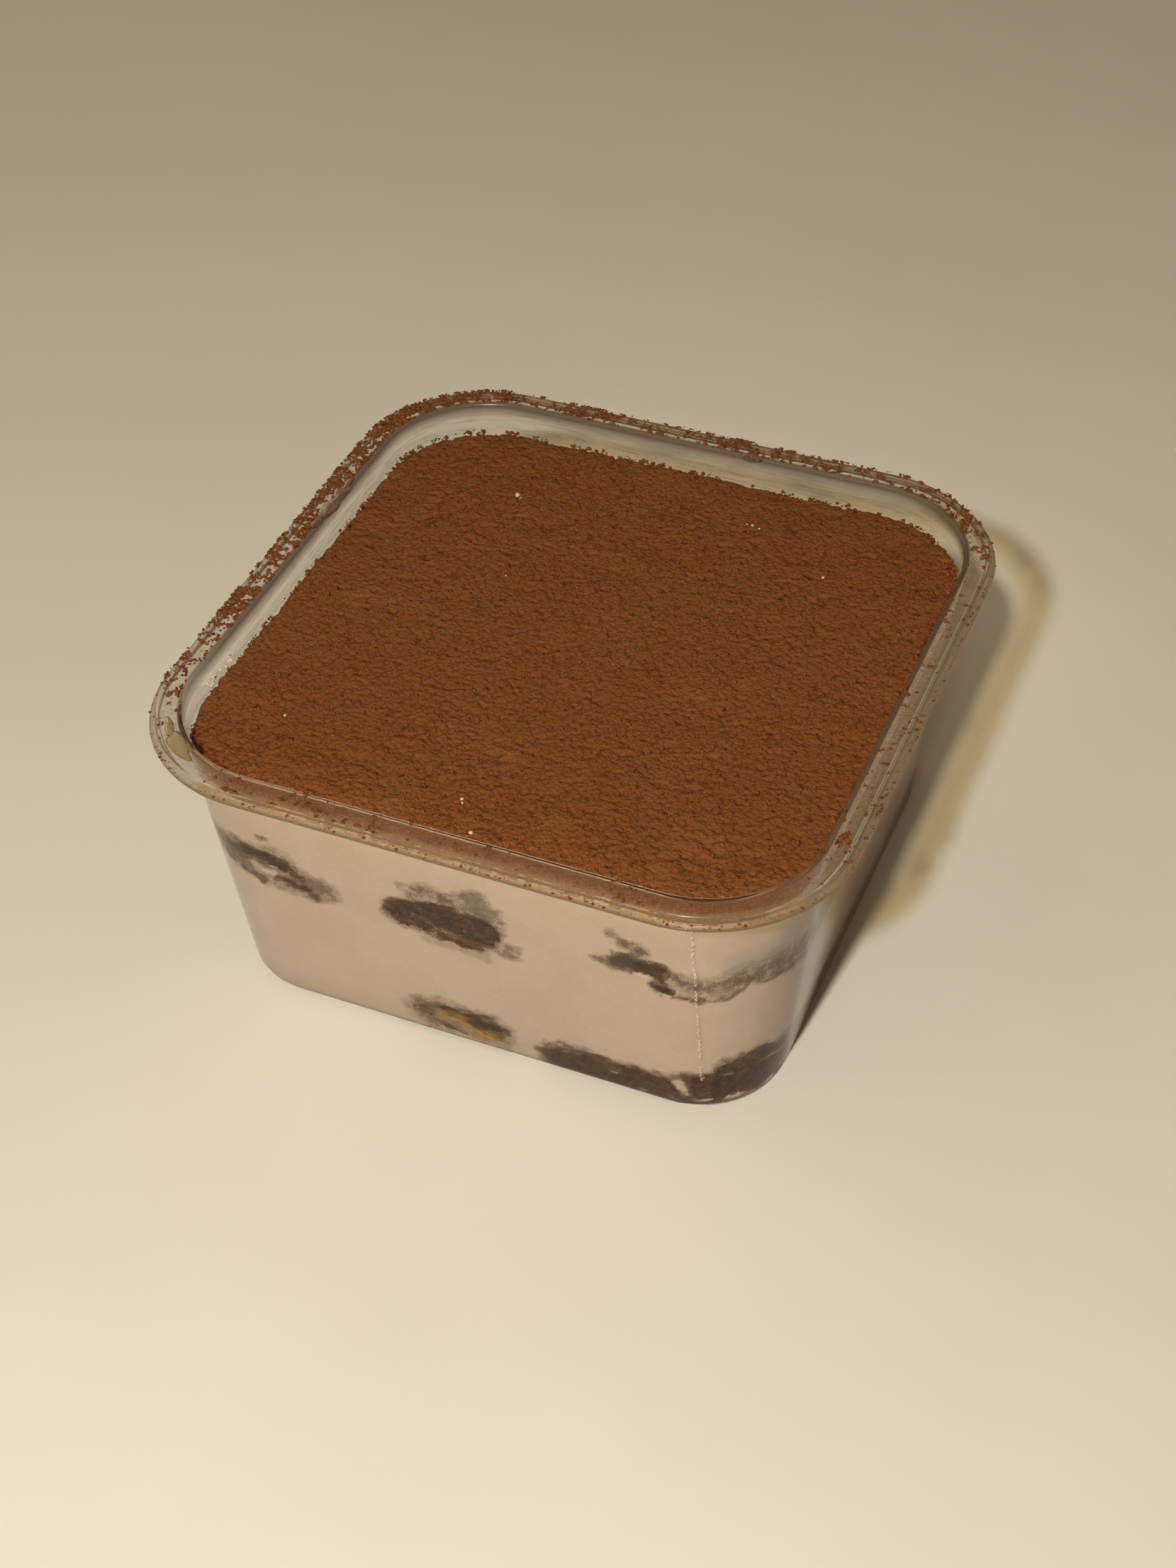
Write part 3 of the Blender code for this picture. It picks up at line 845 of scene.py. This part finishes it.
# ---- the ladyfingers ----
def build_finger(index, node, material):
    """A biscuit over the CAD one's place, rounder and finer, pressed flat against the wall."""
    half_length = FINGER_HALF_LENGTH
    around, end_rings, middle_rings = 96, 15, 46
    middle_x, middle_z, half_width, half_height = finger_shape(node)
    tapers = np.linspace(0.04, 0.97, end_rings)
    into_end = end_taper(tapers)
    ends = half_length - FINGER_END + FINGER_END * into_end
    middle = np.linspace(-(half_length - FINGER_END), half_length - FINGER_END, middle_rings)
    ys = np.concatenate([-ends, middle, ends[::-1]])
    scale = np.concatenate([tapers, np.ones(middle_rings), tapers[::-1]])
    angle = np.linspace(0, 2 * math.pi, around, endpoint=False)
    c, s = np.cos(angle), np.sin(angle)
    reach_x = np.sign(c) * np.abs(c) ** (2 / FINGER_POWER)
    reach_z = np.sign(s) * np.abs(s) ** (2 / FINGER_POWER)
    rings = []
    for y, taper in zip(ys, scale):
        swell = 1 + 0.025 * math.sin(70 * y + 1.7 * index)
        sway = 0.4 * MM * math.sin(55 * y + 2.3 * index)
        lift = 0.3 * MM * math.sin(90 * y + 0.9 * index)
        x = middle_x + sway + half_width * swell * taper * reach_x
        z = middle_z + lift + half_height * taper * reach_z
        rings.append(np.stack([x, np.full(around, y), z], 1))
    vertices, faces = lofted(rings)
    outward = vertices - np.array([middle_x, 0, middle_z])
    outward[:, 1] = 0
    outward /= np.maximum(np.linalg.norm(outward, axis=1, keepdims=True), 1e-6)
    rough = 0.25 * MM * layered_noise(vertices, 2.2 * MM, 3, 40 + index)
    vertices = vertices + outward * rough[:, None]
    vertices[:, 2] = np.maximum(vertices[:, 2], FLOOR - 0.5 * INTO_WALL)
    distance, nx, ny = wall_distance(vertices)
    spread = share((2.5 * MM - distance) / (2.5 * MM))
    soak, amber, cool = soak_fields(vertices)
    pores = share(smooth_noise(vertices, 0.9 * MM, 60 + index) - 0.35) * 0.5 * MM
    push = np.minimum(distance + INTO_WALL - 0.08 * MM, 0) - pores * (distance < 0.5 * MM)
    vertices[:, 0] += nx * push
    vertices[:, 1] += ny * push
    shown = share(spread * 1.2)
    name = node.replace("ladyfinger", "biscuit")
    make_piece(name, vertices, faces, material, "sponge", node, amber=amber * shown, cool=cool * shown,
               soak=0.95 + (np.clip(soak, 0.5, 0.92) - 0.95) * shown)


# ---- the cocoa ----
BED_PITCH = 0.335 * MM           # of the grid of its surface
BED_DIP = 0.2 * MM               # how far its hollows lie below its mean height
BED_UNDER = CREAM_TOP + 0.1 * MM
BED_SLOPE = 0.9 * MM             # width over which it rises from its edge


def bed_waves(p):
    """The powder's long waves and its broad lumps."""
    return 0.22 * MM * layered_noise(p, 30 * MM, 3, 70), 0.16 * MM * layered_noise(p, 4.0 * MM, 3, 71)


def round_patch(xy, x, y, radius):
    """From 1 in the middle of a round patch, given in mm, to 0 at its edge."""
    return share(1 - np.hypot(xy[:, 0] - x * MM, xy[:, 1] - y * MM) / (radius * MM))


def bed_height(xy):
    """Height of the powder: long waves, lumps, cracks and fine crumbs."""
    p = in_space(xy)
    waves, lumps = bed_waves(p)
    front = share((-xy[:, 1] - 18 * MM) / (26 * MM))
    first, second = cell_distance(xy + 0.6 * MM * noise_pair(p, 1.6 * MM, 72), 3.4 * MM, 74)
    clods = share(1 - first * 1.25) * 0.75 * MM
    gate = share(smooth_noise(p, 9 * MM, 75) * 1.6 - 0.1) * (0.10 + 0.9 * front)
    crumb1, _ = cell_distance(xy, 1.15 * MM, 76)
    crumbs = share(1 - crumb1 ** 2) * 0.30 * MM
    small1, _ = cell_distance(xy, 0.70 * MM, 77)
    crumbs = crumbs + share(1 - small1 ** 2) * 0.15 * MM
    cracks = share(1 - (second - first) * 5) * gate * 0.55 * MM
    pits = share(smooth_noise(p, 1.0 * MM, 78) - 0.45) * 0.9 * MM
    corner = round_patch(xy, -50, -30, 14) ** 2 * 1.2 * MM
    lump = (1 - (1 - round_patch(xy, -29.5, -43, 3)) ** 2) * 0.6 * MM
    fine = clods * gate + crumbs - cracks - pits
    return COCOA_TOP - BED_DIP + waves + lumps + fine + corner + lump


def settled_height(xy, edge):
    """The same, sloping down to the powder's edge."""
    slope = share(edge / BED_SLOPE)
    return BED_UNDER + (bed_height(xy) - BED_UNDER) * (0.45 + 0.55 * np.sqrt(slope))


def bed_edge(p):
    """Distance inwards from the powder's uneven edge."""
    distance, _, _ = wall_distance(p, inner_half(COCOA_TOP))
    uneven = 0.25 * MM * layered_noise(p, 5.0 * MM, 3, 80)
    uneven = uneven + 0.45 * MM * layered_noise(p, 1.2 * MM, 2, 81)
    back_left = round_patch(p, -45, 46, 16) * 0.8 * MM
    return distance - 0.30 * MM - np.clip(uneven, -0.25 * MM, 1) - back_left


def build_bed(material):
    """The powder's surface on a fine grid, cut to its edge and closed with a skirt."""
    half = inner_half(COCOA_TOP)
    count = int(2 * half / BED_PITCH)
    ticks = np.linspace(-half, half, count)
    gx, gy = np.meshgrid(ticks, ticks, indexing="ij")
    xy = np.column_stack([gx.ravel(), gy.ravel()])
    xy = xy + 0.3 * BED_PITCH * noise_pair(in_space(xy), 0.5 * MM, 82)
    edge = bed_edge(in_space(xy, COCOA_TOP))
    height = settled_height(xy, edge)
    index = np.arange(count * count).reshape(count, count)
    quads = np.stack([index[:-1, :-1], index[1:, :-1], index[1:, 1:], index[:-1, 1:]], -1).reshape(-1, 4)
    used, renumbered = np.unique(quads[edge[quads].min(1) > 0], return_inverse=True)
    quads = renumbered.reshape(-1, 4)
    top = np.column_stack([xy[used], height[used]])
    sides = np.concatenate([quads[:, [k, (k + 1) % 4]] for k in range(4)])
    key = sides[:, 0].astype(np.int64) * len(used) + sides[:, 1]
    back = sides[:, 1].astype(np.int64) * len(used) + sides[:, 0]
    rim = sides[~np.isin(key, back)]
    rim_points = np.unique(rim)
    below = {v: len(used) + k for k, v in enumerate(rim_points)}
    low = top[rim_points].copy()
    low[:, 2] = BED_UNDER - 0.3 * MM
    skirt = np.array([[b, a, below[a], below[b]] for a, b in rim])
    vertices = np.concatenate([top, low])
    waves, lumps = bed_waves(in_space(xy[used]))
    mean = COCOA_TOP - BED_DIP + waves + lumps + 0.14 * MM
    # painted shade: darker where the powder lies below its mean height, in its cracks and pits
    pit = share((mean - height[used]) / (0.40 * MM)) * 0.55
    # painted shade on the side under the powder's edge
    pit = np.concatenate([pit, np.full(len(low), 0.4)])
    pale = share(smooth_noise(vertices, 6 * MM, 84) - 0.2) * 0.25
    make_piece("cocoa_bed", vertices, [quads, skirt], material, "cocoa", "cocoa", pit=pit, pale=pale)


ICO_T = (1 + math.sqrt(5)) / 2
ICO_POINTS = np.array([
    (-1, ICO_T, 0), (1, ICO_T, 0), (-1, -ICO_T, 0), (1, -ICO_T, 0), (0, -1, ICO_T), (0, 1, ICO_T),
    (0, -1, -ICO_T), (0, 1, -ICO_T), (ICO_T, 0, -1), (ICO_T, 0, 1), (-ICO_T, 0, -1), (-ICO_T, 0, 1),
]) / math.sqrt(1 + ICO_T ** 2)
ICO_FACES = np.array([(0, 11, 5), (0, 5, 1), (0, 1, 7), (0, 7, 10), (0, 10, 11), (1, 5, 9), (5, 11, 4),
                      (11, 10, 2), (10, 7, 6), (7, 1, 8), (3, 9, 4), (3, 4, 2), (3, 2, 6), (3, 6, 8),
                      (3, 8, 9), (4, 9, 5), (2, 4, 11), (6, 2, 10), (8, 6, 7), (9, 8, 1)])


def random_turns(rng, count):
    """Random rotation matrices."""
    q = rng.normal(size=(count, 4))
    q /= np.linalg.norm(q, axis=1, keepdims=True)
    w, x, y, z = q.T
    return np.stack([
        np.stack([1 - 2 * (y * y + z * z), 2 * (x * y - z * w), 2 * (x * z + y * w)], -1),
        np.stack([2 * (x * y + z * w), 1 - 2 * (x * x + z * z), 2 * (y * z - x * w)], -1),
        np.stack([2 * (x * z - y * w), 2 * (y * z + x * w), 1 - 2 * (x * x + y * y)], -1)], 1)


def crumbs(rng, centres, radii, flat=0.75):
    """Vertices, faces and tones of many uneven crumbs, one for each centre."""
    count = len(centres)
    lumps = ICO_POINTS[None] * (1 + 0.28 * rng.uniform(-1, 1, (count, 12, 1)))
    lumps = np.einsum("nij,nkj->nki", random_turns(rng, count), lumps)
    lumps[:, :, 2] *= flat
    vertices = (centres[:, None] + lumps * radii[:, None, None]).reshape(-1, 3)
    faces = (ICO_FACES[None] + 12 * np.arange(count)[:, None, None]).reshape(-1, 3)
    tones = np.repeat(rng.uniform(0, 1, count), 12)
    return vertices, faces, tones


def wall_turn():
    """Half the way round the inner wall at the rim."""
    return 4 * STRAIGHT_TOP + math.pi * (inner_half(HEIGHT) - STRAIGHT_TOP)


def build_grains(material):
    """Loose crumbs of cocoa that lie on the bed."""
    rng = np.random.default_rng(SEED + 1)
    half = inner_half(COCOA_TOP) - 0.6 * MM
    count = 12500
    xy = rng.uniform(-half, half, (count, 2))
    flat = in_space(xy, COCOA_TOP)
    edge = bed_edge(flat)
    lump = np.clip(layered_noise(flat, 6 * MM, 2, 90) * 0.8 + 0.55, 0.1, 1)
    keep = (edge > -0.3 * MM) & (rng.uniform(0, 1, count) < lump)
    keep &= wall_distance(flat)[0] > 0.35 * MM
    xy, edge = xy[keep], edge[keep]
    radii = 0.15 * MM * np.exp(rng.normal(0, 0.34, len(xy))) + 0.07 * MM
    radii = np.minimum(radii, 0.55 * MM)
    centres = np.column_stack([xy, settled_height(xy, edge) + 0.05 * radii])
    order = np.argsort(rng.uniform(0, 1, len(xy)))[:7600]
    turn = wall_turn()
    edge_s = rng.uniform(-1, 1, 2600) * turn
    edge_z = COCOA_TOP + rng.uniform(-0.9, 0.35, len(edge_s)) * MM
    gathered = layered_noise(on_line(edge_s), 2.5 * MM, 2, 91) > -0.25
    edge_s, edge_z = edge_s[gathered], edge_z[gathered]
    ridge, _ = wall_point(edge_s, edge_z, -rng.uniform(0.15, 1.1, len(edge_s)) * MM)
    ridge_radii = (0.14 + 0.30 * rng.uniform(0, 1, len(edge_s)) ** 2) * MM
    centres = np.concatenate([centres[order], ridge])
    vertices, faces, tones = crumbs(rng, centres, np.concatenate([radii[order], ridge_radii]))
    make_piece("cocoa_grains", vertices, faces, material, "cocoa",
               pit=share(0.35 - tones * 0.5), pale=share(tones * 0.7 - 0.3))


def rim_cover(p):
    """The share of the ledge that cocoa covers, from thick at the left to almost bare at the front."""
    angle = np.arctan2(p[:, 1], p[:, 0])

    def toward(degrees, sharpness):
        return share(np.cos(angle - math.radians(degrees))) ** sharpness

    cover = 0.62 * toward(180, 1.2) + 0.34 * toward(100, 1.2) + 0.18 * toward(10, 2)
    return np.clip(np.maximum(cover, 0.04) - 0.35 * toward(-132, 30), 0.02, 0.66)


def build_rim_specks(material):
    """Crumbs of cocoa on the ledge and lip, in clusters."""
    rng = np.random.default_rng(SEED + 2)
    count = 26000
    turn_share = rng.uniform(-1, 1, count)
    total = wall_turn()
    ledge = SKIRT_HALF - inner_half(HEIGHT)
    across = rng.uniform(-0.35, 1.02, count) * (ledge - 0.5 * MM)
    base, _ = wall_point(turn_share * total, np.full(count, HEIGHT), across + 0.5 * MM)
    cluster = layered_noise(base, 1.2 * MM, 3, 101, 0.7) + 0.4 * layered_noise(base, 7 * MM, 2, 102)
    cover = rim_cover(base)
    shares = np.linspace(0, 1, 101)
    threshold = np.interp(cover, shares, np.quantile(cluster, 1 - shares))
    keep = (cluster > threshold) & (across > -0.05 * MM)
    base, excess = base[keep], (cluster - threshold)[keep]
    radii = 0.13 + 0.16 * rng.uniform(0, 1, len(base)) ** 2 + 0.10 * share(excess)
    radii = radii * MM
    base[:, 2] = HEIGHT + 0.25 * radii
    order = np.argsort(rng.uniform(0, 1, len(base)))[:6200]
    lip_count = 420
    lip_s = rng.uniform(-1, 1, lip_count) * total
    lip_out = ledge + rng.uniform(0.1, 1.0, lip_count) * MM
    lip, _ = wall_point(lip_s, np.full(lip_count, HEIGHT), lip_out)
    lip_r = (0.12 + 0.22 * rng.uniform(0, 1, lip_count) ** 3) * MM
    lip[:, 2] = HEIGHT - SKIRT_DROP + 0.3 * lip_r
    centres = np.concatenate([base[order], lip])
    vertices, faces, tones = crumbs(rng, centres, np.concatenate([radii[order], lip_r]), 0.7)
    make_piece("rim_specks", vertices, faces, material, "cocoa",
               pit=share(0.5 - tones) * 0.6, pale=share(tones - 0.6))


def blob(s, z, out, size, seed):
    """A closed uneven lump on the wall's inner line: size is along, outwards and up."""
    rings, around = 14, 28
    polar = np.linspace(0.12, math.pi - 0.12, rings)
    turn = np.linspace(0, 2 * math.pi, around, endpoint=False)
    circle = np.stack([np.cos(turn), np.sin(turn)], 1)
    vertices, faces = lofted([in_space(math.sin(angle) * circle, -math.cos(angle)) for angle in polar])
    vertices = vertices * (1 + 0.45 * layered_noise(vertices + seed, 0.7, 3, seed))[:, None]
    place, normal = wall_point(s + vertices[:, 0] * size[0], np.full(len(vertices), z), out)
    place = place + normal * (vertices[:, 1] * size[1])[:, None]
    place[:, 2] += vertices[:, 2] * size[2]
    return place, faces


def joined(parts):
    """Vertices and faces of several parts, put together."""
    vertices = np.concatenate([v for v, _ in parts])
    faces, start = [], 0
    for v, groups in parts:
        for group in (groups if isinstance(groups, list) else [groups]):
            faces.append(group + start)
        start += len(v)
    return vertices, faces


def build_smears(material):
    """Dried residue on the rim: a streak over the left ledge's inner edge, a bump at the back and
    a stain on the front left corner."""
    # for each: place round the wall, distance outwards, length, width, height and seed, in mm
    table = [
        (-108.5, 0.5, 2.6, 0.6, 0.35, 5), (-112.0, 0.2, 3.2, 1.0, 0.35, 6), (-116.5, 0.2, 3.0, 1.1, 0.35, 7),
        (-120.0, 0.6, 2.2, 0.6, 0.35, 8), (188.8, 0.1, 1.6, 1.3, 0.35, 12), (-47.0, 1.9, 3.2, 1.3, 0.12, 13),
        (-51.0, 2.2, 2.2, 0.9, 0.12, 14),
    ]
    parts = [blob(s * MM, HEIGHT, out * MM, (along * MM, across * MM, up * MM), seed)
             for s, out, along, across, up, seed in table]
    vertices, faces = joined(parts)
    make_piece("rim_smears", vertices, faces, material, "cocoa", amber=vertices[:, 1] < -30 * MM)


def build_flecks(material):
    """Specks of cream that lie on the cocoa and on the wall beside it."""
    rng = np.random.default_rng(SEED + 3)
    # for each on the cocoa: x, y and radius in mm
    table = np.array([
        (-27.7, 34.4, 0.5), (-26.9, 34.1, 0.35), (14.5, 41.1, 0.3), (15.9, 40.7, 0.25), (13.4, 41.3, 0.2),
        (30.7, 31.6, 0.3), (0.9, -47.8, 0.4), (-3.5, -41.5, 0.3), (-3.1, -42.3, 0.25), (-38.5, -34.0, 0.3),
        (-20.2, 12.5, 0.15)]) * MM
    xy, radii = table[:, :2], table[:, 2]
    height = bed_height(xy) + 0.12 * MM
    s = np.concatenate([rng.normal(-67.4, 1.2, 16), rng.normal(-72.5, 0.9, 12)]) * MM
    z = COCOA_TOP + rng.uniform(0.5, 2.3, len(s)) * MM
    wall, _ = wall_point(s, z, -rng.uniform(0.0, 0.5, len(s)) * MM)
    wall_radii = rng.uniform(0.15, 0.38, len(s)) * MM
    centres = np.concatenate([np.column_stack([xy, height]), wall])
    vertices, faces, _ = crumbs(rng, centres, np.concatenate([radii, wall_radii]), 0.6)
    make_piece("cream_flecks", vertices, faces, material, "cream")


def build_painted_glint_streak(material):
    """A broken pale streak down the front right corner's outside: a painted highlight, standing for the
    lamp's glint on that corner.
    """
    rng = np.random.default_rng(SEED + 4)
    z = np.sort(rng.uniform(7, 47, 520)) * MM
    z = z[smooth_noise(on_line(z), 2.5 * MM, 130) > -0.62]
    s = 39.0 * MM + 0.15 * MM * smooth_noise(on_line(z), 4 * MM, 131)
    s = s + rng.normal(0, 0.13, len(z)) * MM
    place, _ = wall_point(s, z, WALL + 0.01 * MM)
    # tiny pale crumbs on the outer wall that paint the highlight
    radii = rng.uniform(0.035, 0.10, len(z)) * MM
    vertices, faces, _ = crumbs(rng, place, radii, 1.3)
    make_piece("corner_painted_glint", vertices, faces, material, "cream")


# ---- stage ----
CAMERA_AZIMUTH = 23.9            # degrees to the right of the front
CAMERA_ELEVATION = 42.5
CAMERA_ROLL = -1.77
CAMERA_DISTANCE = 421 * MM
CAMERA_TARGET = Vector((3.64, -9.15, 27.2)) * MM
CAMERA_LENS = 57.1               # mm
CAMERA_SENSOR = 36               # mm, the picture's height
# For each light: azimuth and elevation in degrees, distance and diameter in m, power in W, colour.
WARM = (1.0, 0.84, 0.62)
LIGHTS = {
    "key": (8.5, 46.5, 0.62, 0.030, 3.2, (1.0, 0.95, 0.86)),
    "soft_top": (-50, 66, 1.1, 0.8, 0.5, WARM),
    "soft_back": (-122, 24, 1.3, 0.9, 1.3, WARM),
}
WORLD_COLOR = (1.0, 0.72, 0.45, 1.0)
WORLD_STRENGTH = 0.175
TABLE_HALF = 1.6                 # m
TABLE_DROP = 0.1 * MM            # so that the tabletop doesn't touch the tub's underside


def direction(azimuth, elevation):
    """Unit vector towards a place seen at that azimuth, right of the front, and elevation."""
    a, e = math.radians(azimuth), math.radians(elevation)
    return Vector((math.sin(a) * math.cos(e), -math.cos(a) * math.cos(e), math.sin(e)))


def build_camera():
    data = bpy.data.cameras.new("camera")
    data.sensor_fit = "VERTICAL"
    data.sensor_height = CAMERA_SENSOR
    data.lens = CAMERA_LENS
    data.clip_start = 0.01
    obj = linked(bpy.data.objects.new("camera", data))
    back = direction(CAMERA_AZIMUTH, CAMERA_ELEVATION)
    turn = back.to_track_quat("Z", "Y").to_matrix().to_4x4()
    roll = Matrix.Rotation(math.radians(CAMERA_ROLL), 4, "Z")
    obj.matrix_world = Matrix.Translation(CAMERA_TARGET + back * CAMERA_DISTANCE) @ turn @ roll
    bpy.context.scene.camera = obj


def build_light(name, azimuth, elevation, distance, size, power, color):
    data = bpy.data.lights.new(name, "AREA")
    data.shape = "DISK"
    data.size = size
    data.energy = power
    data.color = color
    obj = linked(bpy.data.objects.new(name, data))
    toward = direction(azimuth, elevation)
    obj.location = toward * distance
    obj.rotation_euler = toward.to_track_quat("Z", "Y").to_euler()


def build_stage():
    corners = np.array([(-1, -1), (1, -1), (1, 1), (-1, 1)]) * TABLE_HALF
    faces = np.array([[0, 1, 2, 3]])
    make_object("tabletop", in_space(corners, -TABLE_DROP), faces, floor_material())
    for name, values in LIGHTS.items():
        build_light(name, *values)
    world = bpy.data.worlds.new("studio")
    world.use_nodes = True
    background = world.node_tree.nodes["Background"]
    background.inputs["Color"].default_value = WORLD_COLOR
    background.inputs["Strength"].default_value = WORLD_STRENGTH
    bpy.context.scene.world = world
    bpy.context.scene.view_settings.view_transform = "Standard"


def main():
    build_camera()
    build_stage()
    build_tub(plastic_material())
    build_cream(cream_material())
    sponge = sponge_material()
    for index, node in enumerate(FINGER_SHAPES):
        build_finger(index, node, sponge)
    cocoa = cocoa_material()
    build_bed(cocoa)
    build_grains(cocoa)
    build_rim_specks(cocoa)
    build_smears(smear_material())
    flecks_and_glint = fleck_and_glint_material()
    build_flecks(flecks_and_glint)
    # the painted highlight streak on the corner
    build_painted_glint_streak(flecks_and_glint)


main()
